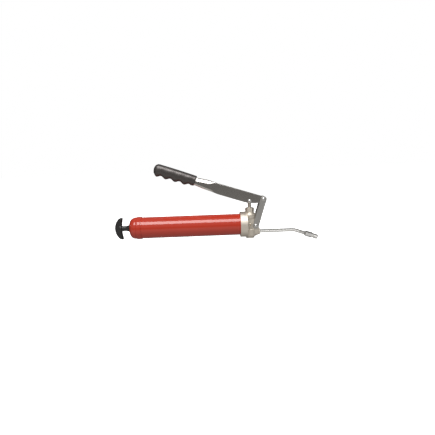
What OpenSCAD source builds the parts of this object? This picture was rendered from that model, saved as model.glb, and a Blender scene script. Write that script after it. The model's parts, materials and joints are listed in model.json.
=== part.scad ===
// Lever-action grease gun with a rigid outlet pipe and a nipple coupler.
// The barrel lies along X with the outlet towards +X and the lever above it (+Z).
// The origin is on the barrel's axis, halfway along the visible tube.

/* [Barrel] */
// Outer diameter of the barrel tube
barrel_d = 57; // [56:0.5:58]
// Length of tube that shows between the cap and the head
barrel_len = 264; // [220:1:300]
// Thickness of the tube's wall
barrel_wall = 1.2; // [0.8:0.1:1.6]

/* [Rear cap] */
// Length of the skirt that screws over the tube
cap_skirt_len = 13; // [11:0.5:15]
// Length of the cap from the skirt's mouth to its flat back
cap_len = 32; // [30:0.5:36]
// Radius of the cap's rounded back corner
cap_corner_r = 16; // [14:0.5:17]

/* [Rod and T handle] */
// Diameter of the follower rod
rod_d = 6.4; // [6:0.1:7]
// Length of the T handle's bar
handle_len = 59.4; // [54:0.2:64]
// Thickness of the bar across the gun
handle_thick = 15; // [12:0.5:18]
// Distance from the cap's back to the furthest point of the bar
handle_reach = 40.4; // [36:0.2:42]

/* [Head] */
// Diameter of the collar that the tube screws into
collar_d = 68.4; // [67:0.2:70]
// Length of the collar
collar_len = 19.3; // [18:0.1:22]
// Diameter of the upright column that holds the plunger
column_d = 34; // [32:0.5:36]
// Distance from the collar's front face to the plunger's axis
plunger_setback = 7.2; // [6:0.1:9]
// Height of the column's top above the barrel's axis
column_top = 32.4; // [31:0.1:34]

/* [Plunger] */
// Diameter of the high-pressure plunger
plunger_d = 9.5; // [8:0.1:10]
// Height of the lever's pin above the barrel's axis
lever_pin_z = 62.5; // [61:0.1:64]

/* [Lever] */
// Angle of the lever above the barrel, at rest
lever_tilt = 18; // [16:0.5:20]
// Width of the channel across the gun
lever_w = 26; // [25:0.1:26]
// Thickness of the sheet that the channel is pressed from
lever_sheet = 2.5; // [2:0.1:3]
// Length of the grip
grip_len = 115; // [110:1:125]
// Width of the grip across the gun
grip_w = 28; // [26:0.5:32]

/* [Links] */
// Distance between the two rivets of a link
link_len = 73.6; // [73.4:0.05:73.8]
// Angle between a link and the upright
link_lean = 17.4; // [17.2:0.05:17.6]
// Width of a link plate
link_w = 15.8; // [15:0.1:16.4]
// Thickness of a link plate
link_thick = 3.2; // [2.8:0.1:3.6]
// Diameter of the lever's and the links' rivets
pin_d = 6; // [5.8:0.1:6.2]

/* [Pipe and coupler] */
// Outer diameter of the outlet pipe
pipe_d = 9.3; // [9:0.1:9.6]
// Height of the pipe's straight run below the barrel's axis
pipe_drop = 20.4; // [19:0.1:21]
// Distance from the plunger's axis to the bend's corner
pipe_reach = 119.2; // [100:0.2:140]
// Angle of the bend
pipe_bend = 19; // [12:0.5:30]
// Width of the coupler's hexagon across its flats
coupler_flats = 13; // [12.6:0.1:14]

/* [Fits] */
// Radial gap between a pin or shaft and the hole it turns in
running_gap = 0.05; // [0.03:0.01:0.08]
// Gap between faces that pass each other
side_gap = 0.3; // [0.3:0.05:0.5]

/* [Hidden] */
$fn = 64;
cut = 1; // how far a cutting shape runs past the face that it opens

// Barrel, cap and head along X
barrel_r = barrel_d / 2;
bore_r = barrel_r - barrel_wall;
tube_end = barrel_len / 2;
thread_gap = 0.05;
cap_wall = 1.5;
cap_mouth = -tube_end;
cap_back = cap_mouth - cap_len;
cap_shell_r = barrel_r + 0.4;
cap_skirt_r = barrel_r + 1.6;
cap_thread_len = 6;
collar_r = collar_d / 2;
collar_end = tube_end + collar_len;
head_thread_len = 15;
gasket_thick = 2;
plunger_x = collar_end + plunger_setback;

// Rod, handle and follower
rod_r = rod_d / 2;
handle_back = cap_back - handle_reach;
handle_front = handle_back + 16.5; // inner face of the bar, on the axis
stem_r = 6.8;
stem_foot_r = 9.7;
bushing_flange = 2;
follower_x = tube_end - 22; // back face of the rubber cup
follower_r = bore_r - side_gap;
plate_thick = 1.5;
spring_r = 19;
spring_wire_r = 1.4;

// Head, from the top down
plunger_r = plunger_d / 2;
plunger_bore_r = plunger_r + running_gap;
gland_flats = 21;
gland_top = column_top + 12.1;
gland_thread_r = 9;
gland_thread_len = 14;
packing_len = 4;
plunger_foot = -6; // lower end of the plunger, at rest
column_foot = -33.4;
plug_flats = 20;
plug_thread_r = 7;
plug_thread_len = 8.4;
inlet_z = 6;
lug_w = lever_w - 0.2;
nose_end = plunger_x + 26.5;
nose_r = 8.6;
pipe_socket = 9; // how far the pipe screws into the nose
valve_x = plunger_x + 7; // back of the check valve's chamber
valve_port_r = 2.2;
ball_r = 3;
bleeder_r = 5;
bleeder_z = -0.5;

// Lever and links, side view; the lever's own axes start at its pin
pin_r = pin_d / 2;
rivet_head_r = 4.9;
rivet_head = 2.4;
link_foot = [plunger_x + 14.7, -3.6];
link_top = link_foot + link_len * [sin(link_lean), cos(link_lean)];
link_y = lever_w / 2 + side_gap; // inner face of a link plate
link_end = [33.6, 15.2]; // the links' upper rivet in the lever's axes
slot_low = -1.0; // the slot's reach on each side of that rivet
slot_high = 2.8;
slot_play = 0.8;
lever_top = 21.6;
lever_neck = -152; // where the channel narrows to the tang
tang_w = 19;
tang_top = 18;
tang_foot = 3;
tang_end = lever_neck - 102;
grip_front = lever_neck - 0.2;
grip_rings = 40;
grip_sides = 28;
finger_pitch = 25.4;

// Outlet pipe and coupler
pipe_r = pipe_d / 2;
pipe_hole_r = 2;
bend_corner = [plunger_x + pipe_reach, -pipe_drop];
bend_r = 45;
bend_back = bend_r * tan(pipe_bend / 2); // from the corner to where the bend starts
bend_steps = 8;
pipe_sides = 24;
coupler_start = 32.5; // the coupler's places are measured from the corner
pipe_tip = 44.5;
hex_end = 51.5;
neck_len = 3.5; // the coupler body's neck inside the sleeve
sleeve_end = 67.5;
sleeve_r = 6.1;
mouth_r = 3.6;
mouth_len = 4;

// Colours
red_paint = [0.74, 0.26, 0.20];
cast_metal = [0.76, 0.70, 0.63];
steel = [0.62, 0.62, 0.63];
dark_steel = [0.40, 0.39, 0.38];
chrome = [0.78, 0.78, 0.80];
black_vinyl = [0.10, 0.10, 0.10];
rubber = [0.15, 0.15, 0.16];
brass = [0.78, 0.63, 0.35];

// Puts a shape drawn up +Z along +X instead, starting at x
module along_x(x = 0, z = 0) translate([x, 0, z]) rotate([0, 90, 0]) children();

// Extrudes a side-view outline (X, Z) by w across the gun, centred on the XZ plane
module across(w) translate([0, w / 2, 0]) rotate([90, 0, 0]) linear_extrude(w) children();

// A round bar of radius r and length w across the gun at a side-view point
module cross_pin(p, r, w) translate([p.x, w / 2, p.y]) rotate([90, 0, 0]) cylinder(r = r, h = w);

// Axes of the lever: origin at its pin, +X towards the links
module lever_axes() translate([plunger_x, 0, lever_pin_z]) rotate([0, lever_tilt, 0]) children();

// Axes of the links: origin at the lower rivet, +Z towards the upper one
module link_axes() translate([link_foot.x, 0, link_foot.y]) rotate([0, link_lean, 0]) children();

// Axes of the pipe's sloping end: origin at the bend's corner, +Z towards the tip
module tip_axes() translate([bend_corner.x, 0, bend_corner.y]) rotate([0, 90 + pipe_bend, 0]) children();

// A hexagonal bar measured across its flats
module hexagon(flats, h) cylinder(r = flats / 2 / cos(30), h = h, $fn = 6);

// A round bar or tube with its far edge chamfered by c
module chamfered(r, h, c) {
    cylinder(r = r, h = h - c);
    translate([0, 0, h - c]) cylinder(r1 = r, r2 = r - c, h = c);
}

// A domed rivet head that stands up +Z
module dome(r, h) {
    ball = (r * r + h * h) / (2 * h);
    intersection() {
        translate([0, 0, h - ball]) sphere(r = ball);
        cylinder(r = r, h = h);
    }
}

// A rivet across the gun: a shank with a domed head at each side
module rivet(p, shank_w) {
    cross_pin(p, pin_r, shank_w);
    for (side = [-1, 1]) translate([p.x, side * shank_w / 2, p.y])
        rotate([-side * 90, 0, 0]) dome(rivet_head_r, rivet_head);
}

// A coil of round wire that climbs +Z from 0 to h
module coil(r, wire, h, turns, steps = 16, sides = 6) {
    rings = turns * steps;
    rise = (h - 2 * wire) / rings;
    points = [for (i = [0:rings], j = [0:sides - 1])
        let (turn = 360 * i / steps, around = 360 * j / sides, reach = r + wire * cos(around))
        [reach * cos(turn), reach * sin(turn), wire + rise * i + wire * sin(around)]];
    walls = [for (i = [0:rings - 1], j = [0:sides - 1])
        let (a = i * sides + j, b = i * sides + (j + 1) % sides) [b, a, a + sides, b + sides]];
    start = [for (j = [0:sides - 1]) j];
    end = [for (j = [sides - 1:-1:0]) rings * sides + j];
    polyhedron(points, concat(walls, [start, end]));
}

module barrel_tube() {
    color(red_paint) along_x(-tube_end - cap_thread_len) difference() {
        length = barrel_len + cap_thread_len + head_thread_len;
        cylinder(r = barrel_r, h = length, $fn = 120);
        translate([0, 0, -cut]) cylinder(r = bore_r, h = length + 2 * cut, $fn = 120);
    }
}

// Turned outline of the cap (radius, distance from its back), hollow when inset
module cap_outline(shell_r, inset) {
    corner = cap_corner_r - inset;
    centre_r = shell_r + inset - cap_corner_r;
    translate([centre_r, cap_corner_r]) intersection() {
        circle(r = corner);
        translate([0, -corner]) square(corner);
    }
    translate([0, inset]) square([centre_r, cap_len]);
    translate([0, cap_corner_r]) square([shell_r, cap_len]);
}

module rear_cap() {
    color(red_paint) along_x(cap_back) difference() {
        union() {
            rotate_extrude($fn = 120) intersection() {
                cap_outline(cap_shell_r, 0);
                square([cap_skirt_r, cap_len]);
            }
            translate([0, 0, cap_len - cap_skirt_len])
                cylinder(r = cap_skirt_r, h = cap_skirt_len, $fn = 120);
        }
        rotate_extrude($fn = 120) cap_outline(cap_shell_r - cap_wall, cap_wall);
        translate([0, 0, cap_len - cap_skirt_len])
            cylinder(r = barrel_r + thread_gap, h = cap_skirt_len + cut, $fn = 120);
        translate([0, 0, -cut]) cylinder(r = rod_r + 1.8, h = cap_len);
    }
}

module rod_bushing() {
    color(steel) along_x(cap_back) difference() {
        union() {
            cylinder(r = rod_r + 1.75, h = cap_wall + 5);
            translate([0, 0, cap_wall]) cylinder(r = rod_r + 5, h = bushing_flange);
        }
        translate([0, 0, -cut]) cylinder(r = rod_r + running_gap, h = 12);
    }
}

module follower_spring() {
    spring_start = cap_back + cap_wall + 3;
    spring_end = follower_x - plate_thick;
    color(steel) along_x(spring_start) coil(spring_r, spring_wire_r, spring_end - spring_start, 16);
}

module follower_cup() {
    lip = 9;
    color(rubber) along_x(follower_x) difference() {
        cylinder(r = follower_r, h = 12);
        translate([0, 0, 12 - lip]) cylinder(r1 = follower_r - 4, r2 = follower_r - 1.5, h = lip + cut / 8);
        translate([0, 0, -cut]) cylinder(r = rod_r + running_gap, h = 20);
    }
}

module follower_plate(x, r) {
    color(steel) along_x(x) difference() {
        cylinder(r = r, h = plate_thick);
        translate([0, 0, -cut]) cylinder(r = rod_r + running_gap, h = plate_thick + 2 * cut);
    }
}

module follower_front_plate() {
    follower_plate(follower_x + 3, follower_r - 8);
}

module follower_back_plate() {
    follower_plate(follower_x - plate_thick, spring_r + 4);
}

module follower_rod() {
    start = handle_front - 8;
    color(steel) along_x(start) chamfered(rod_r, follower_x + 12 - start, 0.8);
}

module rod_nut() {
    color(steel) along_x(follower_x + 3 + plate_thick + side_gap) difference() {
        hexagon(11, 5);
        translate([0, 0, -cut]) cylinder(r = rod_r, h = 5 + 2 * cut);
    }
}

module t_handle() {
    half = handle_len / 2;
    tip_r = 3.2;
    deep = 14.5; // how far the back edge falls away from its middle to its tips
    back_r = (half * half + deep * deep) / (2 * deep);
    front_r = 118;
    foot_len = 9.7;
    foot_start = cap_back - 0.3 - foot_len;
    color(black_vinyl) difference() {
        union() {
            across(handle_thick) {
                intersection() {
                    translate([handle_back + back_r, 0]) circle(r = back_r, $fn = 120);
                    difference() {
                        translate([handle_back, tip_r - half]) square([30, handle_len - 2 * tip_r]);
                        translate([handle_front + front_r, 0]) circle(r = front_r, $fn = 160);
                    }
                }
                for (side = [-1, 1]) translate([handle_front, side * (half - tip_r)]) circle(r = tip_r);
            }
            along_x(handle_front - 2) cylinder(r = stem_r, h = foot_start - handle_front + 2.1);
            along_x(foot_start) cylinder(r1 = stem_r, r2 = stem_foot_r, h = foot_len);
        }
        along_x(handle_front - 8) cylinder(r = rod_r, h = 62);
    }
}

// The nose is turned on the pipe's axis and narrows towards its end
module head_nose() {
    root_r = 12;
    taper_start = plunger_x + 14;
    along_x(plunger_x, -pipe_drop) cylinder(r = root_r, h = taper_start - plunger_x);
    along_x(taper_start, -pipe_drop) cylinder(r1 = root_r, r2 = nose_r + 0.6, h = 9);
    along_x(taper_start + 9, -pipe_drop) chamfered(nose_r + 0.6, nose_end - taper_start - 9, 0.8);
}

// The upright column, with chamfers at its top and foot
module head_column() {
    column_r = column_d / 2;
    top_chamfer = 6.5;
    foot_chamfer = 3.5;
    translate([plunger_x, 0, column_foot]) {
        cylinder(r1 = column_r - foot_chamfer, r2 = column_r, h = foot_chamfer);
        translate([0, 0, foot_chamfer])
            chamfered(column_r, column_top - column_foot - foot_chamfer, top_chamfer);
    }
}

// The lug between the two link plates
module head_lug() {
    lug_r = link_w / 2 + 0.6;
    across(lug_w) {
        translate(link_foot) circle(r = lug_r);
        translate([plunger_x, -pipe_drop]) square([link_foot.x - plunger_x, pipe_drop + link_foot.y + lug_r]);
        translate([plunger_x, -pipe_drop]) square([link_foot.x - plunger_x + lug_r, pipe_drop + link_foot.y]);
    }
}

module head_casting() {
    seat_x = plunger_x + 4.8;
    color(cast_metal) difference() {
        union() {
            along_x(tube_end) cylinder(r = collar_r, h = collar_len, $fn = 120);
            head_column();
            head_lug();
            head_nose();
            translate([plunger_x, 0, bleeder_z]) rotate([90, 0, 0]) cylinder(r = 7, h = column_d / 2 + 1.2);
        }
        // flats that the link plates pass over
        for (side = [-1, 1])
            translate([seat_x, side * (lug_w / 2 + 10), 2]) cube([24, 20, 30], center = true);
        // space for the tube, the cartridge's end and the gasket
        along_x(tube_end - cut)
            cylinder(r = barrel_r + thread_gap, h = head_thread_len + gasket_thick + cut, $fn = 120);
        // seats cut round the gland nut and the foot plug, and the lower rivet's hole
        translate([plunger_x, 0, column_top]) cylinder(r = gland_flats / 2 / cos(30) + 0.4, h = 20);
        translate([plunger_x, 0, column_foot - 10]) cylinder(r = plug_flats / 2 / cos(30) + 0.4, h = 10);
        cross_pin(link_foot, pin_r + running_gap, 60);
        // bores for the plunger, its packing and gland, and the plug at the foot
        translate([plunger_x, 0, column_foot - cut]) cylinder(r = plunger_bore_r, h = 80);
        translate([plunger_x, 0, column_top - gland_thread_len - packing_len])
            cylinder(r = gland_thread_r, h = 40);
        translate([plunger_x, 0, column_foot - cut]) cylinder(r = plug_thread_r, h = plug_thread_len + cut);
        // inlet from the barrel, outlet through the check valve, and the bleed port
        along_x(collar_end - 8, inlet_z) cylinder(r = 4, h = plunger_setback + 8);
        along_x(plunger_x, -pipe_drop) cylinder(r = valve_port_r, h = 8);
        along_x(valve_x, -pipe_drop) cylinder(r = pipe_r, h = 30);
        translate([plunger_x, 0, bleeder_z]) rotate([90, 0, 0]) cylinder(r = 1.5, h = 30);
        translate([plunger_x, -9, bleeder_z]) rotate([90, 0, 0]) cylinder(r = bleeder_r - 1, h = 20);
    }
}

module barrel_gasket() {
    color(rubber) along_x(tube_end + head_thread_len) difference() {
        cylinder(r = barrel_r, h = gasket_thick, $fn = 120);
        translate([0, 0, -cut]) cylinder(r = bore_r - 3, h = gasket_thick + 2 * cut, $fn = 120);
    }
}

module gland_nut() {
    color(cast_metal) translate([plunger_x, 0, column_top - gland_thread_len]) difference() {
        union() {
            cylinder(r = gland_thread_r, h = gland_thread_len);
            translate([0, 0, gland_thread_len]) intersection() {
                hexagon(gland_flats, gland_top - column_top);
                chamfered(gland_flats / 2 / cos(30), gland_top - column_top, 1.4);
            }
        }
        translate([0, 0, -cut]) cylinder(r = plunger_bore_r, h = 60);
    }
}

module plunger_packing() {
    color(rubber) translate([plunger_x, 0, column_top - gland_thread_len - packing_len]) difference() {
        cylinder(r = gland_thread_r, h = packing_len);
        translate([0, 0, -cut]) cylinder(r = plunger_bore_r, h = packing_len + 2 * cut);
    }
}

module plunger() {
    eye_r = 6.4;
    eye_w = 12;
    color(steel) difference() {
        union() {
            translate([plunger_x, 0, plunger_foot]) cylinder(r = plunger_r, h = lever_pin_z - plunger_foot);
            cross_pin([plunger_x, lever_pin_z], eye_r, eye_w);
        }
        cross_pin([plunger_x, lever_pin_z], pin_r + running_gap, 40);
    }
}

module bottom_plug() {
    head = 4;
    color(cast_metal) translate([plunger_x, 0, column_foot]) {
        cylinder(r = plug_thread_r, h = plug_thread_len);
        translate([0, 0, -head]) hexagon(plug_flats, head);
    }
}

// The bleeder's axis points at -Y; its places are measured from the column's axis
module bleeder_axes() translate([plunger_x, 0, bleeder_z]) rotate([90, 0, 0]) children();

module bleeder_body() {
    seat = column_d / 2 + 1.2;
    color(steel) bleeder_axes() difference() {
        union() {
            translate([0, 0, 10]) cylinder(r = bleeder_r - 1, h = seat - 10);
            translate([0, 0, seat]) chamfered(bleeder_r, 2.6, 0.8);
        }
        translate([0, 0, 9]) cylinder(r = 2.6, h = 8);
        cylinder(r = 1.25, h = 40);
    }
}

module bleeder_pin() {
    color(brass) bleeder_axes() {
        translate([0, 0, 15.2]) cylinder(r = 2.2, h = 1.6);
        translate([0, 0, 16.8]) chamfered(1.2, 6, 0.4);
    }
}

module bleeder_spring() {
    color(steel) bleeder_axes() translate([0, 0, 9.2]) coil(1.9, 0.3, 5.9, 4, 12);
}

module check_ball() {
    color(steel) along_x(valve_x + 2.2, -pipe_drop) sphere(r = ball_r);
}

module check_spring() {
    start = valve_x + 2.2 + ball_r + 0.1;
    color(steel) along_x(start, -pipe_drop) coil(2.6, 0.35, nose_end - pipe_socket - start - 0.1, 3, 12);
}

// Side-view outline of the lever in its own axes, without the arc round the links' rivet
module lever_outline() {
    polygon([[lever_neck, 0.2], [-124, -3.1], [-100, -4.2], [-86, -5.8], [-8, -6.4], [2.6, -4.7],
        [18, -0.3], [36.4, 8.2], [35.2, lever_top], [-101, lever_top], [-111, 23.2],
        [-121, 23.2], [lever_neck, 21]]);
    translate([35.2, lever_top - 7]) circle(r = 7);
}

module lever_channel() {
    slot_z = link_end.y + 0.1;
    color(dark_steel) lever_axes() difference() {
        union() {
            across(lever_w) lever_outline();
            across(tang_w) translate([tang_end, tang_foot])
                square([lever_neck - tang_end + 4, tang_top - tang_foot]);
        }
        // the open hollow under the web, in the channel and in the tang
        across(lever_w - 2 * lever_sheet) translate([lever_neck + 4, -30])
            square([220, 30 + lever_top - lever_sheet]);
        across(tang_w - 2 * lever_sheet) translate([tang_end - cut, -30])
            square([lever_neck - tang_end + 20, 30 + tang_top - lever_sheet]);
        cross_pin([0, 0], pin_r, 60);
        for (end = [slot_low, slot_high]) cross_pin([link_end.x + end, slot_z], pin_r + slot_play, 60);
        across(60) translate([link_end.x + slot_low, slot_z - pin_r - slot_play])
            square([slot_high - slot_low, 2 * (pin_r + slot_play)]);
    }
}

// The grip's side view: s runs from its front end to its back end, in mm
function grip_upper(s) = 25 + 2.8 * (1 - pow(1 - min(s, 100) / 100, 1.6));
function grip_lower(s) = -3.9 + 4.2 * exp(-s / 6) - 2.4 * cos(360 * (s - 28.2) / finger_pitch);
// How much the section shrinks as the front edge and the back end round over
function grip_round(s) = let (front = max(0, 1.5 - s) / 1.5, back = max(0, s - grip_len + 11) / 11)
    min(1 - 0.08 * front * front, sqrt(max(0.02, 1 - back * back)));
function soft(x) = sign(x) * pow(abs(x), 0.8);
function grip_section(s) =
    let (mid = (grip_upper(s) + grip_lower(s)) / 2, high = (grip_upper(s) - grip_lower(s)) / 2)
    [for (j = [0:grip_sides - 1]) let (a = 360 * j / grip_sides)
        [grip_front - s, grip_round(s) * grip_w / 2 * soft(cos(a)), mid + grip_round(s) * high * soft(sin(a))]];

module lever_grip() {
    // rings stand closer together towards the rounded back
    places = [for (i = [0:grip_rings]) grip_len * (1 - pow(1 - i / grip_rings, 1.25))];
    points = [for (s = places) each grip_section(s)];
    walls = [for (i = [0:grip_rings - 1], j = [0:grip_sides - 1])
        let (a = i * grip_sides + j, b = i * grip_sides + (j + 1) % grip_sides)
        [a, b, b + grip_sides, a + grip_sides]];
    front = [for (j = [grip_sides - 1:-1:0]) j];
    back = [for (j = [0:grip_sides - 1]) grip_rings * grip_sides + j];
    pocket_play = 0.2;
    color(black_vinyl) lever_axes() difference() {
        polyhedron(points, concat(walls, [front, back]));
        translate([tang_end - pocket_play, -tang_w / 2 - pocket_play, tang_foot - pocket_play])
            cube([200, tang_w + 2 * pocket_play, tang_top - tang_foot + 2 * pocket_play]);
    }
}

module plunger_pin() {
    color(steel) lever_axes() rivet([0, 0], lever_w);
}

module link_plate(side) {
    color(steel) link_axes() difference() {
        translate([0, side * (link_y + link_thick / 2), 0]) across(link_thick) {
            circle(r = link_w / 2);
            translate([-link_w / 2, 0]) square([link_w, link_len]);
            translate([0, link_len]) circle(r = link_w / 2);
        }
        cross_pin([0, 0], pin_r, 60);
        cross_pin([0, link_len], pin_r, 60);
    }
}

module link_plate_left() {
    link_plate(1);
}

module link_plate_right() {
    link_plate(-1);
}

module link_top_pin() {
    color(steel) link_axes() rivet([0, link_len], 2 * (link_y + link_thick));
}

module link_bottom_pin() {
    color(steel) link_axes() rivet([0, 0], 2 * (link_y + link_thick));
}

// Stations along the pipe's centre line: [X, Z, angle below the horizontal]
function pipe_stations() = concat(
    [[nose_end - pipe_socket, -pipe_drop, 0]],
    [for (i = [0:bend_steps]) let (turned = pipe_bend * i / bend_steps)
        [bend_corner.x - bend_back + bend_r * sin(turned), -pipe_drop - bend_r * (1 - cos(turned)), turned]],
    [[bend_corner.x + pipe_tip * cos(pipe_bend), bend_corner.y - pipe_tip * sin(pipe_bend), pipe_bend]]);

// One ring of points round the centre line at a station
function pipe_ring(station, r) = [for (j = [0:pipe_sides - 1])
    let (around = 360 * j / pipe_sides, up = r * cos(around), turned = station[2])
    [station[0] + up * sin(turned), r * sin(around), station[1] + up * cos(turned)]];

module discharge_pipe() {
    stations = pipe_stations();
    last = len(stations) - 1;
    inner = (last + 1) * pipe_sides; // index of the hole's first point
    points = [for (r = [pipe_r, pipe_hole_r], station = stations) each pipe_ring(station, r)];
    faces = [for (i = [0:last], j = [0:pipe_sides - 1])
        let (a = i * pipe_sides + j, b = i * pipe_sides + (j + 1) % pipe_sides)
        each concat(
            i < last ? [[b, a, a + pipe_sides], [b, a + pipe_sides, b + pipe_sides],
                [inner + a, inner + b, inner + a + pipe_sides],
                [inner + b, inner + b + pipe_sides, inner + a + pipe_sides]] : [],
            i == 0 ? [[a, b, inner + b], [a, inner + b, inner + a]] : [],
            i == last ? [[b, a, inner + a], [b, inner + a, inner + b]] : [])];
    color(chrome) polyhedron(points, faces);
}

module coupler_body() {
    color(chrome) tip_axes() difference() {
        union() {
            translate([0, 0, coupler_start]) intersection() {
                hexagon(coupler_flats, hex_end - coupler_start);
                chamfered(coupler_flats / 2 / cos(30), hex_end - coupler_start, 0.9);
            }
            translate([0, 0, hex_end]) cylinder(r = 5, h = neck_len);
        }
        translate([0, 0, coupler_start - cut]) cylinder(r = pipe_r, h = pipe_tip - coupler_start + cut);
        cylinder(r = 1.5, h = sleeve_end);
        translate([0, 0, pipe_tip + 3]) cylinder(r = 3.4, h = 20);
    }
}

module coupler_sleeve() {
    chamber_end = sleeve_end - mouth_len;
    color(chrome) tip_axes() difference() {
        translate([0, 0, hex_end]) chamfered(sleeve_r, sleeve_end - hex_end, 1.2);
        translate([0, 0, hex_end - cut]) cylinder(r = 5, h = neck_len + cut);
        translate([0, 0, hex_end]) cylinder(r = 4.7, h = chamber_end - hex_end);
        cylinder(r = mouth_r, h = 100);
    }
}

module coupler_jaws() {
    color(steel) tip_axes() translate([0, 0, hex_end + 8.2]) difference() {
        cylinder(r = 4.5, h = 3.6);
        translate([0, 0, -cut]) cylinder(r = 3, h = 10);
        for (turn = [0:120:240]) rotate([0, 0, turn]) translate([0, -0.4, -cut]) cube([10, 0.8, 10]);
    }
}

module coupler_piston() {
    color(brass) tip_axes() translate([0, 0, hex_end + 5.2]) difference() {
        cylinder(r = 4.3, h = 2.4);
        translate([0, 0, -cut]) cylinder(r = 1, h = 10);
    }
}

module coupler_spring() {
    start = pipe_tip + 3.1;
    color(steel) tip_axes() translate([0, 0, start]) coil(2.7, 0.4, hex_end + 5.1 - start, 4, 12);
}

barrel_tube();
rear_cap();
rod_bushing();
follower_spring();
follower_cup();
follower_front_plate();
follower_back_plate();
follower_rod();
rod_nut();
t_handle();
head_casting();
barrel_gasket();
gland_nut();
plunger_packing();
plunger();
bottom_plug();
bleeder_body();
bleeder_pin();
bleeder_spring();
check_ball();
check_spring();
lever_channel();
lever_grip();
plunger_pin();
link_plate_left();
link_plate_right();
link_top_pin();
link_bottom_pin();
discharge_pipe();
coupler_body();
coupler_sleeve();
coupler_jaws();
coupler_piston();
coupler_spring();
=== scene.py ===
"""Looks of the lever grease gun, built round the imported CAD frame. Metres, barrel along X, +Z up."""

import json
import math

import bmesh
import bpy
from mathutils import Matrix, Vector


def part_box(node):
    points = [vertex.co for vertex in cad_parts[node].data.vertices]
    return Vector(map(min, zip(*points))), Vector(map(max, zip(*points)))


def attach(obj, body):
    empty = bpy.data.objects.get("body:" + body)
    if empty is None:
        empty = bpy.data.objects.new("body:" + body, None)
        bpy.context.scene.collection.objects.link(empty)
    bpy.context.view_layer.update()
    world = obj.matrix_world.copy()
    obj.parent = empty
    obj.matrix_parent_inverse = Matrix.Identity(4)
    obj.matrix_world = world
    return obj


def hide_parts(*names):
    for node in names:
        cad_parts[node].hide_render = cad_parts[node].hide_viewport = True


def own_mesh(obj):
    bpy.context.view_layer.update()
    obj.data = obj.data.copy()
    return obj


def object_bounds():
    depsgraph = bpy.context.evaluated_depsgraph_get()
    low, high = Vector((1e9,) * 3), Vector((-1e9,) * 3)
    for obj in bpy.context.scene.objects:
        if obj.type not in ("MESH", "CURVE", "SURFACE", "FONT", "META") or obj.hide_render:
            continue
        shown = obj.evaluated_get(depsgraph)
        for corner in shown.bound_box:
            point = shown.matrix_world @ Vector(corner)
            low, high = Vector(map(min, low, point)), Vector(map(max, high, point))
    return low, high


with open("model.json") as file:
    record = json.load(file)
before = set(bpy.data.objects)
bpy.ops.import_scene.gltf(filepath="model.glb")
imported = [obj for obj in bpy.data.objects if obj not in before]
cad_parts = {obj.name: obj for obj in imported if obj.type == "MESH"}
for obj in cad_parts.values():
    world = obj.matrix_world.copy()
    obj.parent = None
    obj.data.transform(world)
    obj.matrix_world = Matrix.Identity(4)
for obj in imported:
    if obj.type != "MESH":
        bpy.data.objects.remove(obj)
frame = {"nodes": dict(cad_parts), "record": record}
CAD_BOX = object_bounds()
MM = 0.001
SAME_POINT = 1e-6  # points of a new mesh this close are one point
CAD_WELD = 2e-6  # the same for the CAD's own meshes
NODES = frame["nodes"]
JOINTS = {j["name"]: j for j in frame["record"]["behaviour"]["joints"]}

# ---------------------------------------------------------------- places taken from the frame


def corners(node):
    """Lowest and highest corner of a CAD node, as vectors."""
    low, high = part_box(node)
    return Vector(low), Vector(high)


def middle(node):
    low, high = corners(node)
    return (low + high) / 2


TUBE_LOW, TUBE_HIGH = corners("barrel_tube")
BARREL_R = (TUBE_HIGH.z - TUBE_LOW.z) / 2
CAP_LOW, CAP_HIGH = corners("rear_cap")
SKIRT_R = (CAP_HIGH.z - CAP_LOW.z) / 2
LEVER_PIN = Vector(JOINTS["lever_hinge"]["pos_m"])
LINK_FOOT = middle("link_bottom_pin")
LINK_TOP = middle("link_top_pin")
PIPE_LOW, PIPE_HIGH = corners("discharge_pipe")
HANDLE_LOW, HANDLE_HIGH = corners("t_handle")
LEVER_TILT = math.radians(18)
PIPE_BEND = math.radians(19)

# ---------------------------------------------------------------- mesh helpers


def new_object(name, verts, faces, material):
    mesh = bpy.data.meshes.new(name)
    mesh.from_pydata([tuple(v) for v in verts], [], faces)
    mesh.validate()
    work = bmesh.new()
    work.from_mesh(mesh)
    bmesh.ops.recalc_face_normals(work, faces=work.faces)
    work.to_mesh(mesh)
    work.free()
    for face in mesh.polygons:
        face.use_smooth = True
    obj = bpy.data.objects.new(name, mesh)
    bpy.context.scene.collection.objects.link(obj)
    mesh.materials.append(material)
    return obj


def ring_mesh(rings):
    """Verts and faces of a closed skin over rings of equal length, with a face at each end."""
    count = len(rings[0])
    verts = [v for ring in rings for v in ring]
    faces = []
    for i in range(len(rings) - 1):
        for j in range(count):
            k = (j + 1) % count
            faces.append((i * count + j, i * count + k, (i + 1) * count + k, (i + 1) * count + j))
    faces.append(tuple(range(count)))
    faces.append(tuple((len(rings) - 1) * count + j for j in reversed(range(count))))
    return verts, faces


def squarish(count, power):
    """Points round a circle pushed out towards a square: the plain sine, then the two coordinates."""
    points = []
    for j in range(count):
        angle = 2 * math.pi * j / count
        c, n = math.cos(angle), math.sin(angle)
        points.append((n, math.copysign(abs(c) ** power, c), math.copysign(abs(n) ** power, n)))
    return points


def rounded(profile, radius, steps=4):
    """A closed outline with its corners rounded."""
    out = []
    count = len(profile)
    for i, point in enumerate(profile):
        here, before, after = Vector(point), Vector(profile[i - 1]), Vector(profile[(i + 1) % count])
        a, b = before - here, after - here
        reach = min(radius, a.length * 0.48, b.length * 0.48)
        start, end = here + a.normalized() * reach, here + b.normalized() * reach
        for k in range(steps + 1):
            t = k / steps
            out.append(start.lerp(here, t).lerp(here.lerp(end, t), t))
    return out


def axis_matrix(origin, direction, up=Vector((0, 0, 1))):
    """Axes with X along direction, for turned pieces."""
    x = direction.normalized()
    z = (up - x * up.dot(x)).normalized()
    if z.length < 0.5:
        z = Vector((0, 1, 0))
    y = z.cross(x)
    return Matrix.Translation(origin) @ Matrix((x, y, z)).transposed().to_4x4()


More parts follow.
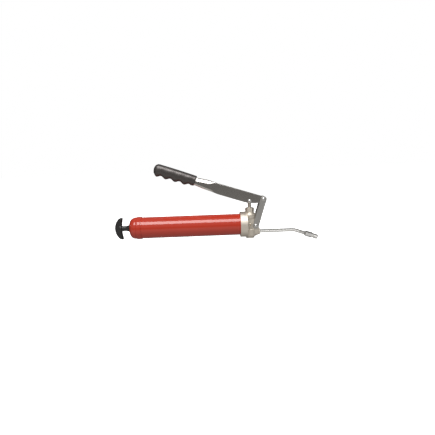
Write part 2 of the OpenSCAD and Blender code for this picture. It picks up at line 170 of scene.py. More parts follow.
def lathe(name, profile, material, axes, steps=128):
    """Turns a closed outline of (distance along, radius) round the X of axes."""
    rings = []
    for i in range(steps):
        angle = 2 * math.pi * i / steps
        turn = (math.cos(angle), math.sin(angle))
        rings.append([axes @ Vector((p[0], p[1] * turn[0], p[1] * turn[1])) for p in profile])
    count = len(profile)
    verts = [v for ring in rings for v in ring]
    faces = []
    for i in range(steps):
        n = (i + 1) % steps
        for j in range(count):
            k = (j + 1) % count
            faces.append((i * count + j, i * count + k, n * count + k, n * count + j))
    obj = new_object(name, verts, faces, material)
    tidy_mesh(obj)
    return obj


def tidy_mesh(obj):
    """Joins points that fall together on an axis, and turns every face outwards."""
    work = bmesh.new()
    work.from_mesh(obj.data)
    bmesh.ops.remove_doubles(work, verts=work.verts, dist=SAME_POINT)
    bmesh.ops.dissolve_degenerate(work, edges=work.edges, dist=SAME_POINT)
    bmesh.ops.recalc_face_normals(work, faces=work.faces)
    work.to_mesh(obj.data)
    work.free()
    for face in obj.data.polygons:
        face.use_smooth = True


def crisp(obj, width, segments=3, angle=32):
    """Rounds a machined piece's edges and keeps its flats flat."""
    weld = obj.modifiers.new("weld", "WELD")
    weld.merge_threshold = CAD_WELD
    bevel = obj.modifiers.new("bevel", "BEVEL")
    bevel.width = width
    bevel.segments = segments
    bevel.limit_method = "ANGLE"
    bevel.angle_limit = math.radians(angle)
    bevel.use_clamp_overlap = True
    for face in obj.data.polygons:
        face.use_smooth = True
    normals = obj.modifiers.new("normals", "WEIGHTED_NORMAL")
    normals.keep_sharp = True


def apply_modifiers(obj):
    bpy.context.view_layer.update()
    evaluated = obj.evaluated_get(bpy.context.evaluated_depsgraph_get())
    mesh = bpy.data.meshes.new_from_object(evaluated)
    obj.modifiers.clear()
    obj.data = mesh


def place(obj, body, slot, *nodes):
    """The piece rides on a body and stands for CAD nodes, which it hides; slot is not used."""
    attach(obj, body)
    if nodes:
        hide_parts(*nodes)


# ---------------------------------------------------------------- material helpers


class Shader:
    """A principled material with short calls for the nodes it needs."""

    def __init__(self, name, **sockets):
        self.material = bpy.data.materials.new(name)
        self.material.use_nodes = True
        self.tree = self.material.node_tree
        self.surface = self.tree.nodes["Principled BSDF"]
        for key, value in sockets.items():
            self.surface.inputs[key.replace("_", " ")].default_value = value
        self.coords = self.node("ShaderNodeTexCoord").outputs["Object"]

    def node(self, kind, **settings):
        made = self.tree.nodes.new(kind)
        for key, value in settings.items():
            if hasattr(made, key):
                setattr(made, key, value)
            else:
                made.inputs[key.replace("_", " ")].default_value = value
        return made

    def link(self, source, target):
        self.tree.links.new(source, target)

    def stretched(self, scale):
        mapping = self.node("ShaderNodeMapping")
        mapping.inputs["Scale"].default_value = scale
        self.link(self.coords, mapping.inputs["Vector"])
        return mapping.outputs["Vector"]

    def noise(self, scale, detail=3.0, roughness=0.5, stretch=None):
        made = self.node("ShaderNodeTexNoise", Scale=scale, Detail=detail, Roughness=roughness)
        self.link(self.stretched(stretch) if stretch else self.coords, made.inputs["Vector"])
        return made.outputs["Fac"]

    def ramp(self, source, low, high, start=0.3, end=0.7):
        """Maps a noise between two numbers."""
        made = self.node("ShaderNodeMapRange")
        for key, value in (("From Min", start), ("From Max", end), ("To Min", low), ("To Max", high)):
            made.inputs[key].default_value = value
        self.link(source, made.inputs["Value"])
        return made.outputs["Result"]

    def blend(self, factor, one, two):
        made = self.node("ShaderNodeMix", data_type="RGBA")
        self.link(factor, made.inputs["Factor"])
        for socket, value in ((made.inputs[6], one), (made.inputs[7], two)):
            if isinstance(value, (tuple, list)):
                socket.default_value = (*value, 1.0)
            else:
                self.link(value, socket)
        return made.outputs[2]

    def colour(self, source):
        self.link(source, self.surface.inputs["Base Color"])

    def rough(self, source):
        self.link(source, self.surface.inputs["Roughness"])

    def bump(self, source, distance, strength=1.0, before=None):
        made = self.node("ShaderNodeBump", Strength=strength, Distance=distance)
        self.link(source, made.inputs["Height"])
        if before is not None:
            self.link(before, made.inputs["Normal"])
        self.link(made.outputs["Normal"], self.surface.inputs["Normal"])
        return made.outputs["Normal"]

    def worn(self, colour, bare):
        """The colour, rubbed towards bare metal along the mesh's outer edges."""
        edges = self.node("ShaderNodeNewGeometry").outputs["Pointiness"]
        return self.blend(self.ramp(edges, 0.0, 1.0, 0.52, 0.6), colour, bare)


def red_paint():
    """Glossy enamel with a faint orange peel under its clear coat."""
    s = Shader("red_enamel", Coat_Weight=1.0, Coat_Roughness=0.035, Specular_IOR_Level=0.12)
    cloud = s.noise(9.0, 4.0)
    fine = s.noise(700.0, 2.0)
    s.colour(s.blend(cloud, (0.42, 0.026, 0.009), (0.49, 0.034, 0.013)))
    s.rough(s.ramp(s.noise(60.0, 4.0), 0.34, 0.46))
    peel = s.bump(s.noise(240.0, 2.0), 0.000012, 0.3)
    s.bump(fine, 0.000005, 0.3, peel)
    s.link(peel, s.surface.inputs["Coat Normal"])
    return s.material


def cast_metal(name, grain, rough):
    """Nickel-coloured metal; grain is the depth of its bumps in metres."""
    s = Shader(name, Metallic=1.0, Specular_IOR_Level=0.5)
    tone = s.noise(55.0, 4.0)
    s.colour(s.worn(s.blend(tone, (0.66, 0.60, 0.515), (0.80, 0.745, 0.66)), (0.86, 0.83, 0.77)))
    s.rough(s.ramp(s.noise(420.0, 5.0, 0.6), *rough))
    coarse = s.bump(s.noise(520.0, 6.0, 0.65), grain, 0.55)
    s.bump(s.noise(2100.0, 2.0), grain * 0.25, 0.5, coarse)
    return s.material


def brushed_steel(name, colour, darker, rough, stretch=(1.0, 1.0, 12.0)):
    """Steel with fine lines across the direction that stretch multiplies most."""
    s = Shader(name, Metallic=1.0)
    lines = s.noise(900.0, 3.0, 0.6, stretch)
    s.colour(s.worn(s.blend(s.noise(80.0, 4.0), darker, colour), (0.64, 0.63, 0.61)))
    s.rough(s.ramp(lines, *rough))
    s.bump(lines, 0.00003, 0.35)
    return s.material


def polished(name, colour, rough):
    """Plated metal with a faint smear and uneven gloss."""
    s = Shader(name, Metallic=1.0)
    smear = s.noise(38.0, 5.0, 0.6)
    s.colour(s.blend(s.ramp(smear, 0.0, 0.25), colour, (0.75, 0.75, 0.75)))
    s.rough(s.ramp(s.noise(120.0, 5.0, 0.65), *rough))
    s.bump(s.noise(240.0, 3.0), 0.000012, 0.4)
    return s.material


def lever_plate():
    """Nickel-plated sheet: slightly wavy, with drawn lines along the lever."""
    s = Shader("lever_nickel", Metallic=1.0)
    drift = s.noise(16.0, 5.0, 0.6)
    streak = s.noise(420.0, 3.0, 0.6, (1.0, 14.0, 14.0))
    s.colour(s.worn(s.blend(drift, (0.46, 0.435, 0.41), (0.56, 0.535, 0.505)), (0.74, 0.72, 0.70)))
    s.rough(s.ramp(streak, 0.13, 0.23))
    wavy = s.bump(s.noise(28.0, 2.0), 0.00012, 0.35)
    s.bump(streak, 0.00001, 0.3, wavy)
    return s.material


def vinyl():
    """Dipped black vinyl with a fine pebbled skin."""
    s = Shader("black_vinyl", Specular_IOR_Level=1.0, Specular_Tint=(1.0, 0.93, 0.905, 1.0))
    s.colour(s.blend(s.noise(140.0, 5.0, 0.6), (0.012, 0.0102, 0.0095), (0.024, 0.0205, 0.0192)))
    s.rough(s.ramp(s.noise(260.0, 4.0), 0.33, 0.46))
    pebble = s.bump(s.noise(1150.0, 3.0, 0.6), 0.00011, 0.5)
    s.bump(s.noise(150.0, 3.0), 0.00010, 0.3, pebble)
    return s.material


def handle_plastic():
    s = Shader("handle_plastic", Specular_IOR_Level=0.5)
    s.colour(s.blend(s.noise(90.0, 4.0), (0.010, 0.010, 0.010), (0.021, 0.020, 0.020)))
    s.rough(s.ramp(s.noise(300.0, 4.0), 0.30, 0.44))
    s.bump(s.noise(900.0, 3.0, 0.6), 0.00006, 0.45)
    return s.material


def rubber():
    s = Shader("black_rubber", Specular_IOR_Level=0.35)
    s.colour(s.blend(s.noise(120.0, 4.0), (0.016, 0.016, 0.017), (0.034, 0.033, 0.032)))
    s.rough(s.ramp(s.noise(400.0, 4.0), 0.58, 0.78))
    s.bump(s.noise(1400.0, 3.0), 0.00005, 0.5)
    return s.material


def brass():
    s = Shader("turned_brass", Metallic=1.0)
    s.colour(s.blend(s.noise(150.0, 4.0), (0.70, 0.48, 0.20), (0.82, 0.62, 0.30)))
    s.rough(s.ramp(s.noise(700.0, 3.0), 0.2, 0.34))
    s.bump(s.noise(1500.0, 2.0), 0.00002, 0.4)
    return s.material


RED = red_paint()
CAST = cast_metal("cast_nickel", 0.00022, (0.46, 0.62))
TURNED = cast_metal("turned_nickel", 0.00007, (0.22, 0.34))
STEEL = brushed_steel("bright_steel", (0.56, 0.55, 0.525), (0.45, 0.44, 0.42), (0.30, 0.44))
RIVET = polished("rivet_steel", (0.66, 0.65, 0.64), (0.10, 0.18))
SPRING = brushed_steel("spring_steel", (0.42, 0.42, 0.43), (0.30, 0.30, 0.31), (0.25, 0.4),
                       (1.0, 1.0, 1.0))
CHROME = polished("chrome_plate", (0.80, 0.79, 0.765), (0.12, 0.20))
SATIN = polished("satin_chrome", (0.86, 0.85, 0.83), (0.26, 0.36))
LEVER = lever_plate()
VINYL = vinyl()
PLASTIC = handle_plastic()
RUBBER = rubber()
BRASS = brass()

CAD_FINISH = {
    "head_casting": CAST, "gland_nut": CAST, "bottom_plug": CAST, "plunger": TURNED, "follower_rod": RIVET,
    "rod_nut": STEEL, "rod_bushing": STEEL, "follower_front_plate": STEEL, "follower_back_plate": STEEL,
    "bleeder_body": TURNED, "coupler_jaws": STEEL, "check_ball": CHROME, "coupler_body": SATIN,
    "follower_cup": RUBBER, "barrel_gasket": RUBBER, "plunger_packing": RUBBER,
    "bleeder_pin": BRASS, "coupler_piston": BRASS,
}

# width in mm of the rounding along a CAD node's edges
EDGE_ROUNDING = {"gland_nut": 0.5, "bottom_plug": 0.4, "coupler_body": 0.35}
COMMON_ROUNDING = 0.25


def finish_cad_nodes():
    """Gives every CAD node that stays its material and lightly rounded edges."""
    for name, material in CAD_FINISH.items():
        obj = NODES[name]
        obj.data.materials.clear()
        obj.data.materials.append(material)
        crisp(obj, EDGE_ROUNDING.get(name, COMMON_ROUNDING) * MM)


# ---------------------------------------------------------------- barrel and cap


def barrel():
    """The open painted tube, with its two ends lightly rounded."""
    inner = BARREL_R - 1.2 * MM
    start, end = TUBE_LOW.x, TUBE_HIGH.x
    profile = rounded([(start, inner), (start, BARREL_R), (end, BARREL_R), (end, inner)], 0.3 * MM)
    shell = lathe("barrel_shell", profile, RED, Matrix.Identity(4), 192)
    place(shell, "gun", "red_paint", "barrel_tube")


def cap():
    """Domed cap: a flat back, a wide corner, a short neck and a rolled skirt over the tube."""
    back, mouth = CAP_LOW.x, CAP_HIGH.x
    skirt = mouth - 13 * MM  # where the wider skirt starts
    shell_r, corner, wall = SKIRT_R - 1.2 * MM, 16 * MM, 1.5 * MM
    hole, steps = 5 * MM, 20
    outside = [(back, hole)]
    for i in range(steps + 1):
        angle = math.pi / 2 * i / steps
        outside.append((back + corner * (1 - math.cos(angle)), shell_r - corner + corner * math.sin(angle)))
    groove = 0.25 * MM
    outside += [(skirt - 0.9 * MM, shell_r), (skirt - 0.5 * MM, shell_r - groove),
                (skirt - 0.1 * MM, shell_r), (skirt + 0.35 * MM, SKIRT_R - groove),
                (skirt + 0.9 * MM, SKIRT_R), (mouth - 2.4 * MM, SKIRT_R),
                (mouth - 1.9 * MM, SKIRT_R - groove), (mouth - 1.4 * MM, SKIRT_R),
                (mouth - 0.5 * MM, SKIRT_R), (mouth - 0.1 * MM, SKIRT_R - 0.3 * MM)]
    bore = BARREL_R + 0.05 * MM
    inside = [(mouth, bore + 0.4 * MM), (mouth - 0.2 * MM, bore), (skirt, bore), (skirt, shell_r - wall)]
    for i in range(steps + 1):
        angle = math.pi / 2 * (1 - i / steps)
        inside.append((back + corner - (corner - wall) * math.cos(angle),
                       shell_r - corner + (corner - wall) * math.sin(angle)))
    inside.append((back + wall, hole))
    shell = lathe("cap_shell", outside + inside, RED, Matrix.Identity(4), 192)
    place(shell, "gun", "red_paint", "rear_cap")


# ---------------------------------------------------------------- lever, grip and rivets

LEVER_AXES = Matrix.Translation(LEVER_PIN) @ Matrix.Rotation(LEVER_TILT, 4, "Y")


def through(points, x, soft=0.0):
    """Height of the line through points at x, with its corners softened over a width of soft."""
    def straight(at):
        if at <= points[0][0]:
            return points[0][1]
        for (x0, y0), (x1, y1) in zip(points, points[1:]):
            if at <= x1:
                return y0 + (y1 - y0) * (at - x0) / (x1 - x0)
        return points[-1][1]
    spread = (-1, -0.66, -0.33, 0, 0.33, 0.66, 1)
    return sum(straight(x + soft * k) for k in spread) / len(spread) if soft else straight(x)


# the lever's outline in mm, in axes on its pin: x runs along it towards the nose, z is square to it
LEVER_NECK, LEVER_NOSE, NOSE_R = -152.0, 35.2, 7.0
WEB_HEIGHT, SHEET = 21.6, 2.4
LEVER_TOP = [(LEVER_NECK, 20.6), (-121, 23.2), (-111, 23.0), (-99, WEB_HEIGHT), (LEVER_NOSE, WEB_HEIGHT)]
LEVER_FOOT = [(LEVER_NECK, 0.4), (-124, -3.1), (-100, -4.4), (-86, -5.8), (-8, -6.4), (2.6, -4.9),
              (18, -0.3), (29, 5.2), (LEVER_NOSE, 7.6)]
HALF_WIDTH = [(LEVER_NECK, 11.2), (-118, 12.2), (-96, 13.0)]
FOOT_CURL = [(LEVER_NECK, 75), (-120, 40), (-98, 0.5)]  # degrees that the lower edges turn inwards


def lever_section(x, sheet):
    """Closed outline (Y, Z) of the pressed channel at x, in mm in the lever's axes."""
    top, foot = through(LEVER_TOP, x, 5), through(LEVER_FOOT, x, 4)
    if x > LEVER_NOSE:
        half = math.sqrt(max(0.0, NOSE_R ** 2 - (x - LEVER_NOSE) ** 2))
        top, foot = WEB_HEIGHT - NOSE_R + half, WEB_HEIGHT - NOSE_R - half
    width = through(HALF_WIDTH, x, 6)
    neck = through([(-117, 1), (-103, 0)], x, 2)  # 1 on the rounded neck, 0 on the square-edged channel
    corner = 1.1
    # radius, degrees and parts of each bend from the web down to the side
    bends = [(corner + 3.4 * neck, 54, 6), (corner + 25 * neck, 17, 6), (corner + 1.4 * neck, 19, 3)]
    drop, turned, reach = 0.0, 0.0, 0.0
    for radius, angle, _ in bends:
        start, turned = turned, turned + math.radians(angle)
        drop += radius * (math.cos(start) - math.cos(turned))
        reach += radius * (math.sin(turned) - math.sin(start))
    curl = math.radians(through(FOOT_CURL, x, 4))
    curl_len, shortest = 6.0, 0.5
    side = top - foot - drop - curl_len * math.sin(curl) / curl
    if side < shortest:
        curl_len = max(shortest, curl_len + side - shortest)
        side = shortest
    y, z, heading = 0.0, top, 0.0  # heading 0 runs outwards along the web, 90 degrees runs down
    path = [(y, z, heading)]
    lengths = [((width - reach) / 3, 0.0)] * 3
    for radius, angle, parts in bends:
        lengths += [(radius * math.radians(angle) / parts, math.radians(angle) / parts)] * parts
    lengths += [(side / 4, 0.0)] * 4 + [(curl_len / 5, curl / 5)] * 5
    for length, turn in lengths:
        middle_heading = heading + turn / 2
        y += length * math.cos(middle_heading)
        z -= length * math.sin(middle_heading)
        heading += turn
        path.append((y, z, heading))
    outer = [(-y, z) for y, z, _ in reversed(path[1:])] + [(y, z) for y, z, _ in path]
    inner = [(-y + sheet * math.sin(h), z - sheet * math.cos(h)) for y, z, h in reversed(path[1:])]
    inner += [(y - sheet * math.sin(h), z - sheet * math.cos(h)) for y, z, h in path]
    return outer + inner[::-1]


def lever():
    """The pressed channel, in rings that lie closer where its shape changes faster."""
    places, x = [], LEVER_NECK - 3
    while x < LEVER_NOSE + NOSE_R - 0.9:
        places.append(x)
        x += 2.0 if x < -90 else (4.0 if x < -12 else (1.6 if x < 33 else 0.6))
    rings = [[LEVER_AXES @ (Vector((x, y, z)) * MM) for y, z in lever_section(x, SHEET)] for x in places]
    obj = new_object("lever_pressing", *ring_mesh(rings), LEVER)
    crisp(obj, 0.45 * MM, 3, 50)
    place(obj, "lever", "lever_steel", "lever_channel")


GRIP_START, GRIP_LEN, GRIP_W = LEVER_NECK - 0.2, 115.0, 28.0
FINGER_PITCH, FIRST_RIDGE = 25.4, 28.2


def grip_section(s):
    """One ring of the grip s mm behind its front edge."""
    upper = 25 + 2.8 * (1 - (1 - min(s, 100) / 100) ** 1.6)
    wave = math.cos(2 * math.pi * (s - FIRST_RIDGE) / FINGER_PITCH)
    fade = min(1.0, max(0.0, (s - 6) / 10)) * min(1.0, max(0.0, (GRIP_LEN - 4 - s) / 8))
    lower = -3.9 + 4.2 * math.exp(-s / 6) - 2.5 * wave * (0.25 + 0.75 * fade)
    front, back = max(0, 2.2 - s) / 2.2, max(0, s - GRIP_LEN + 12) / 12
    shrink = min(1 - 0.10 * front * front, math.sqrt(max(0.0, 1 - back * back)) ** 0.9)
    mid, high = (upper + lower) / 2, (upper - lower) / 2
    ring = []
    for sine, c, n in squarish(56, 0.86):
        y = GRIP_W / 2 * c * (1 - 0.035 * wave * max(0.0, -sine))
        ring.append(LEVER_AXES @ (Vector((GRIP_START - s, y * shrink, mid + high * n * shrink)) * MM))
    return ring


def grip():
    """The moulded grip, with its rings closest at its two ends."""
    steps = 150
    places = [GRIP_LEN * (1 - (1 - i / steps) ** 1.4) for i in range(steps + 1)]
    places = [0.0, 0.5, 1.0, 1.6] + [s for s in places if s > 1.6]
    places[-1] = GRIP_LEN - 0.05
    obj = new_object("hand_grip", *ring_mesh([grip_section(s) for s in places]), VINYL)
    place(obj, "lever", "black_vinyl", "lever_grip")


def rivet(name, body, node):
    """A tubular rivet: a shank with a low dome and a hollow end at each side, as wide as the CAD rivet."""
    head_r, head_h = 4.9 * MM, 2.4 * MM
    low, high = corners(node)
    centre = (low + high) / 2
    half, shank = (high.y - low.y) / 2, 3 * MM
    ball = (head_r ** 2 + head_h ** 2) / (2 * head_h)
    hollow = head_r * 0.44
    outline = [(-half + 4.6 * MM, 0), (-half + 2.7 * MM, hollow * 0.84), (-half + 2.4 * MM, hollow * 0.88),
               (-half + 0.7 * MM, hollow * 0.92), (-half + 0.4 * MM, hollow * 0.95)]
    for i in range(13):
        r = hollow + (head_r - hollow) * math.sin(math.pi / 2 * i / 12)
        outline.append((-half + ball - math.sqrt(ball ** 2 - r ** 2), r))
    outline += [(-half + head_h + 0.02 * MM, head_r - 0.1 * MM), (-half + head_h + 0.02 * MM, shank)]
    mirrored = [(-x, r) for x, r in reversed(outline)]
    obj = lathe(name, outline + mirrored, RIVET, axis_matrix(centre, Vector((0, 1, 0))), 64)
    place(obj, body, "bright_steel", node)


def link_plate(name, node):
    """A flat stamped bar with round ends and a soft edge; the rivets' heads cover its two holes."""
    low, high = corners(node)
    along = LINK_TOP - LINK_FOOT
    length, half = along.length, 7.9 * MM
    axes = axis_matrix(Vector((LINK_FOOT.x, low.y, LINK_FOOT.z)), along, Vector((0, 1, 0)))
    outline, arc = [], 24
    for centre, first in ((length, -math.pi / 2), (0.0, math.pi / 2)):
        for i in range(arc + 1):
            angle = first + math.pi * i / arc
            outline.append((centre + half * math.cos(angle), half * math.sin(angle)))
    thick, soft = high.y - low.y, 0.5 * MM
    levels = [(0, soft), (0.3 * soft, 0.3 * soft), (soft, 0)]
    levels += [(thick - level, inset) for level, inset in reversed(levels)]
    shape = []
    for level, inset in levels:
        scale, ring = (half - inset) / half, []
        for x, y in outline:
            nearest = min(max(x, 0), length)
            ring.append(axes @ Vector((nearest + (x - nearest) * scale, y * scale, level)))
        shape.append(ring)
    obj = new_object(name, *ring_mesh(shape), STEEL)
    for face in obj.data.polygons:
        face.use_smooth = len(face.vertices) == 4
    place(obj, "links", "bright_steel", node)


# ---------------------------------------------------------------- T handle


def t_handle():
    """A moulded crescent on a stem that flares where it meets the cap."""
    back, half = HANDLE_LOW.x, (HANDLE_HIGH.z - HANDLE_LOW.z) / 2
    deep, bar, inner_r, thick = 14.5 * MM, 19 * MM, 105 * MM, 15 * MM
    blunt, least = 0.13, 0.02  # share of each arm that its tip takes, and the tip's smallest width
    outer_r = (half ** 2 + deep ** 2) / (2 * deep)
    rings, steps = [], 72
    for i in range(steps + 1):
        spot = -math.cos(math.pi * i / steps) * 0.9995
        z = half * spot
        rear = back + outer_r - math.sqrt(outer_r ** 2 - z * z)
        front = back + bar + inner_r - math.sqrt(inner_r ** 2 - z * z)
        tip = max(least, math.sqrt(max(0.0, 1 - (max(0.0, abs(spot) - 1 + blunt) / blunt) ** 2)))
        wide = thick / 2 * (1 - 0.22 * abs(spot) ** 3) * tip
        deep_here = (front - rear) / 2 * tip
        centre = (front + rear) / 2
        rings.append([Vector((centre + deep_here * c, wide * n, z)) for _, c, n in squarish(32, 0.72)])
    bar_obj = new_object("t_handle_moulding", *ring_mesh(rings), PLASTIC)
    stem_r, foot_r, end = 6.8 * MM, 9.7 * MM, HANDLE_HIGH.x
    start = back + bar - 6 * MM
    outline = [(start, 0.0), (start, stem_r + 3 * MM)]
    for i in range(7):
        t = i / 6
        outline.append((back + bar - 1.5 * MM + 5 * MM * t, stem_r + 3.2 * MM * (1 - t) ** 2.2))
    outline += [(end - 9.5 * MM, stem_r), (end - 7 * MM, stem_r + 0.55 * MM),
                (end - 3.2 * MM, foot_r - 0.9 * MM), (end - 1.4 * MM, foot_r - 0.1 * MM),
                (end - 0.3 * MM, foot_r), (end, foot_r - 0.3 * MM), (end, 0.0)]
    stem = lathe("t_handle_stem", outline, PLASTIC, Matrix.Identity(4), 64)
    merge_cast(bar_obj, [stem], 0.55 * MM, 6)
    place(bar_obj, "rod", "black_plastic", "t_handle")


def merge_cast(obj, others, voxel, smoothing):
    """Fuses pieces into one skin with soft inner corners, as a moulding or casting has."""
    bpy.context.view_layer.objects.active = obj
    for other in [obj, *others]:
        other.select_set(True)
    if others:
        with bpy.context.temp_override(active_object=obj, selected_editable_objects=[obj, *others]):
            bpy.ops.object.join()
    obj.select_set(False)
    remesh = obj.modifiers.new("skin", "REMESH")
    remesh.mode = "VOXEL"
    remesh.voxel_size = voxel
    remesh.use_smooth_shade = True
    smooth = obj.modifiers.new("soften", "SMOOTH")
    smooth.factor = 0.5
    smooth.iterations = smoothing
    apply_modifiers(obj)
    for face in obj.data.polygons:
        face.use_smooth = True


# ---------------------------------------------------------------- head casting


def head():
    """The CAD head with cast fillets in its inner corners and rounded outer edges."""
    source = NODES["head_casting"]
    obj = bpy.data.objects.new("head_cast_skin", source.data.copy())
    obj.matrix_world = source.matrix_world.copy()
    bpy.context.scene.collection.objects.link(obj)
    obj.modifiers.new("weld", "WELD").merge_threshold = CAD_WELD
    apply_modifiers(obj)
    merge_cast(obj, [], 0.5 * MM, 7)
    obj.data.materials.clear()
    obj.data.materials.append(CAST)
    place(obj, "gun", "cast_nickel", "head_casting")


# ---------------------------------------------------------------- pipe, coupler and springs


# distances along the pipe's sloping end, from the corner of its bend
PIPE_TIP, SLEEVE_START, SLEEVE_END = 44.5 * MM, 51.5 * MM, 67.5 * MM


def pipe_axes():
    """Bend corner and direction of the pipe's sloping end."""
    radius = 4.65 * MM
    level = PIPE_HIGH.z - radius
    tip_r = radius * math.cos(PIPE_BEND)
    tip_z = PIPE_LOW.z + tip_r
    tip_x = PIPE_HIGH.x - radius * math.sin(PIPE_BEND)
    corner_x = tip_x - (level - tip_z) / math.tan(PIPE_BEND)
    direction = Vector((math.cos(PIPE_BEND), 0, -math.sin(PIPE_BEND)))
    return Vector((corner_x, 0, level)), direction, radius


def pipe():
    """The round outlet pipe: a level length, a smooth bend and a sloping end."""
    corner, direction, radius = pipe_axes()
    bend_r = 45 * MM
    reach = bend_r * math.tan(PIPE_BEND / 2)
    stations = [(PIPE_LOW.x, corner.z, 0.0), (PIPE_LOW.x + 10 * MM, corner.z, 0.0)]
    for i in range(25):
        turned = PIPE_BEND * i / 24
        stations.append((corner.x - reach + bend_r * math.sin(turned),
                         corner.z - bend_r * (1 - math.cos(turned)), turned))
    tip = corner + direction * PIPE_TIP
    stations.append((tip.x, tip.z, PIPE_BEND))
    count = 40
    rings = []
    for x, z, turned in stations:
        up = Vector((math.sin(turned), 0, math.cos(turned)))
        rings.append([Vector((x, 0, z)) + up * radius * math.cos(2 * math.pi * j / count)
                      + Vector((0, radius * math.sin(2 * math.pi * j / count), 0)) for j in range(count)])
    obj = new_object("outlet_tube", *ring_mesh(rings), CHROME)
    obj.data.polygons[-1].use_smooth = obj.data.polygons[-2].use_smooth = False
    place(obj, "gun", "chrome", "discharge_pipe")


def coupler_nose():
    """The turned sleeve at the tip: a grip groove, a taper and the mouth for the nipple."""
    corner, direction, _ = pipe_axes()
    axes = axis_matrix(corner, direction)
    start, end, r, mouth, bore = SLEEVE_START / MM, SLEEVE_END / MM, 6.1, 3.6, 4.7
    tail = 5.0  # bore of the sleeve over the hexagon's neck
    outline = [(start, tail), (start, r - 0.5), (start + 0.5, r), (start + 3.4, r), (start + 3.9, r - 0.7),
               (start + 5.0, r - 0.7), (start + 5.5, r), (end - 3.2, r), (end - 2.6, r - 0.15),
               (end - 0.5, r - 1.0), (end, r - 1.5), (end, mouth + 0.4), (end - 0.5, mouth),
               (end - 4, mouth), (end - 4, bore), (start + 5, bore), (start + 5, tail)]
    obj = lathe("coupler_nose", [(a * MM, b * MM) for a, b in outline], CHROME, axes, 96)
    crisp(obj, 0.12 * MM, 2, 30)
    place(obj, "gun", "chrome", "coupler_sleeve")


def coil(name, node, start, direction, length, r, wire, turns):
    """A compression spring of wire radius wire, wound from its start along direction."""
    steps, sides = 28, 10
    axes = axis_matrix(start, direction)
    rings = []
    closed = min(1.4, turns * 0.2)  # turns wound close at each end
    pitch = 2.1 * wire
    for i in range(int(turns * steps) + 1):
        turn = i / steps
        inside = min(max((turn - closed) / (turns - 2 * closed), 0.0), 1.0)
        ends = min(turn, closed) + max(turn - (turns - closed), 0.0)
        along = wire + ends * pitch + inside * (length - 2 * wire - 2 * closed * pitch)
        angle = 2 * math.pi * turn
        out = Vector((0, math.cos(angle), math.sin(angle)))
        ring = []
        for j in range(sides):
            around = 2 * math.pi * j / sides
            across = Vector((along + wire * math.sin(around), 0, 0))
            ring.append(axes @ (across + out * (r + wire * math.cos(around))))
        rings.append(ring)
    obj = new_object(name, *ring_mesh(rings), SPRING)
    place(obj, "gun", "spring_steel", node)
    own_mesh(obj)


def springs():
    """The four springs, each from the end that stays still towards the piece that presses it."""
    low, high = corners("follower_spring")
    travel, length = JOINTS["follower_slide"]["range_m"][1], high.x - low.x
    coil("follower_coil", "follower_spring", Vector((low.x, 0, 0)), Vector((1, 0, 0)),
         length, 19 * MM, 1.4 * MM, 16)
    low, high = corners("bleeder_spring")
    centre = (low + high) / 2
    coil("bleeder_coil", "bleeder_spring", Vector((centre.x, high.y, centre.z)),
         Vector((0, -1, 0)), high.y - low.y, 1.9 * MM, 0.3 * MM, 4)
    low, high = corners("check_spring")
    centre = (low + high) / 2
    coil("check_coil", "check_spring", Vector((high.x, 0, centre.z)), Vector((-1, 0, 0)),
         high.x - low.x, 2.6 * MM, 0.35 * MM, 3)
    corner, direction, _ = pipe_axes()
    start = corner + direction * (PIPE_TIP + 3.1 * MM)
    coil("coupler_coil", "coupler_spring", start, direction, 9.0 * MM, 2.7 * MM, 0.4 * MM,
         4)


# ---------------------------------------------------------------- camera, light and floor


def camera():
    """Side view from a little above, turned one degree towards the rear and tipped by two."""
    aim = Vector((0.0717, 0, 0.0205))
    distance, height, turn, roll = 1.085, math.radians(7), math.radians(1), math.radians(2.03)
    data = bpy.data.cameras.new("camera")
    data.lens, data.sensor_width = 33.35, 36
    data.clip_start, data.clip_end = 0.01, 50
    cam = bpy.data.objects.new("camera", data)
    level = math.cos(height)
    back = Vector((-math.sin(turn) * level, -math.cos(turn) * level, math.sin(height)))
    cam.location = aim + back * distance
    cam.rotation_mode = "QUATERNION"
    tip = Matrix.Rotation(-roll, 4, "Z").to_quaternion()
    cam.rotation_quaternion = (-back).to_track_quat("-Z", "Y") @ tip
    bpy.context.scene.collection.objects.link(cam)
    bpy.context.scene.camera = cam


def softbox(name, place_at, aim, size, power):
    light = bpy.data.lights.new(name, "AREA")
    light.shape = "RECTANGLE"
    light.size, light.size_y = size
    light.energy = power
    lamp = bpy.data.objects.new(name, light)
    lamp.location = place_at
    lamp.rotation_mode = "QUATERNION"
    lamp.rotation_quaternion = (Vector(aim) - Vector(place_at)).to_track_quat("-Z", "Y")
    bpy.context.scene.collection.objects.link(lamp)
    return lamp


def light_only(lamp, pieces, state):
    """Lets a lamp reach only the pieces, with state INCLUDE, or all but them, with EXCLUDE."""
    group = bpy.data.collections.new(lamp.name + "_pieces")
    for piece in pieces:
        group.objects.link(piece)
    for entry in group.collection_objects:
        entry.light_linking.link_state = state
    lamp.light_linking.receiver_collection = group


# brightness of the room by height, 0 straight down and 1 straight up
FRONT_ROOM = [(0.0, 0.50), (0.30, 0.80), (0.40, 0.55), (0.45, 0.20), (0.53, 0.20), (0.60, 0.50),
              (0.80, 0.45), (1.0, 0.20)]
BACK_ROOM = [(0.0, 0.34), (0.30, 0.14), (0.42, 0.12), (0.50, 0.12), (0.75, 0.12), (0.88, 0.16), (1.0, 0.20)]


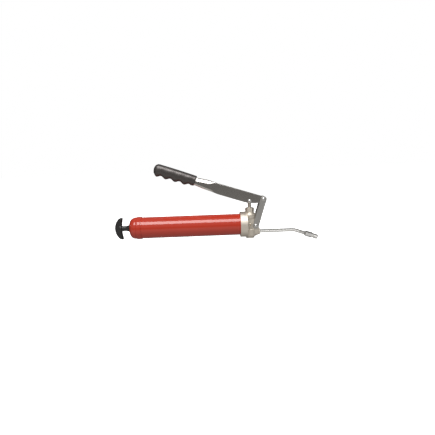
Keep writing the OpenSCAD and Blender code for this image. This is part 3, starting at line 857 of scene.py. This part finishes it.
def studio():
    """A room with a darker band at eye level, seen as plain white, a strip light and a pale floor."""
    world = bpy.data.worlds.new("studio")
    bpy.context.scene.world = world
    world.use_nodes = True
    tree = world.node_tree
    new, link = tree.nodes.new, tree.links.new
    split = new("ShaderNodeSeparateXYZ")
    link(new("ShaderNodeTexCoord").outputs["Generated"], split.inputs["Vector"])
    height, side = new("ShaderNodeMapRange"), new("ShaderNodeMapRange")
    for part, axis, low in ((height, "Z", -1), (side, "Y", -0.2)):
        part.inputs["From Min"].default_value = low
        part.inputs["From Max"].default_value = -low
        link(split.outputs[axis], part.inputs["Value"])
    mix = new("ShaderNodeMix")
    mix.data_type = "RGBA"
    link(side.outputs["Result"], mix.inputs["Factor"])
    for stops, socket in ((FRONT_ROOM, 6), (BACK_ROOM, 7)):
        ramp = new("ShaderNodeValToRGB")
        link(height.outputs["Result"], ramp.inputs["Fac"])
        elements = ramp.color_ramp.elements
        while len(elements) < len(stops):
            elements.new(0.5)
        for element, (at, level) in zip(elements, stops):
            element.position = at
            element.color = (level, level * 0.985, level * 0.96, 1)
        link(ramp.outputs["Color"], mix.inputs[socket])
    plain = new("ShaderNodeMix")
    plain.data_type = "RGBA"
    plain.inputs[7].default_value = (1, 1, 1, 1)
    link(new("ShaderNodeLightPath").outputs["Is Camera Ray"], plain.inputs["Factor"])
    link(mix.outputs[2], plain.inputs[6])
    link(plain.outputs[2], tree.nodes["Background"].inputs["Color"])
    strip = softbox("strip", (-0.08, -0.70, 1.0), (-0.02, 0, 0), (0.95, 0.66), 15)
    low_strip = softbox("low_strip", (0.30, -1.6, 0.26), (0.26, 0, 0), (2.0, 0.40), 6)
    bright_line = [bpy.data.objects["outlet_tube"], bpy.data.objects["coupler_nose"], NODES["coupler_body"]]
    light_only(strip, bright_line, "EXCLUDE")
    light_only(low_strip, bright_line, "INCLUDE")
    softbox("top", (0, 0.15, 1.3), (0, 0, 0), (1.6, 1.2), 1)
    softbox("rear", (0.2, 0.9, 0.75), (0, 0, 0), (1.2, 0.6), 9).visible_glossy = False
    floor_mesh = bpy.data.meshes.new("floor")
    half, level = 30.0, CAD_BOX[0][2] - 0.5 * MM
    sides = ((-half, -half), (half, -half), (half, half), (-half, half))
    floor_mesh.from_pydata([(x, y, level) for x, y in sides], [], [(0, 1, 2, 3)])
    floor = bpy.data.objects.new("floor", floor_mesh)
    bpy.context.scene.collection.objects.link(floor)
    s = Shader("floor_white", Roughness=0.9, Emission_Color=(1, 1, 1, 1), Emission_Strength=0.8)
    s.colour(s.blend(s.noise(3.0), (0.90, 0.90, 0.90), (0.93, 0.93, 0.93)))
    floor_mesh.materials.append(s.material)
    floor.visible_glossy = floor.visible_diffuse = False
    bpy.context.scene.view_settings.view_transform = "Standard"


finish_cad_nodes()
barrel()
cap()
lever()
grip()
rivet("lever_rivet", "lever", "plunger_pin")
link_plate("near_link", "link_plate_right")
link_plate("far_link", "link_plate_left")
rivet("upper_link_rivet", "links", "link_top_pin")
rivet("lower_link_rivet", "links", "link_bottom_pin")
t_handle()
head()
pipe()
coupler_nose()
springs()
camera()
studio()
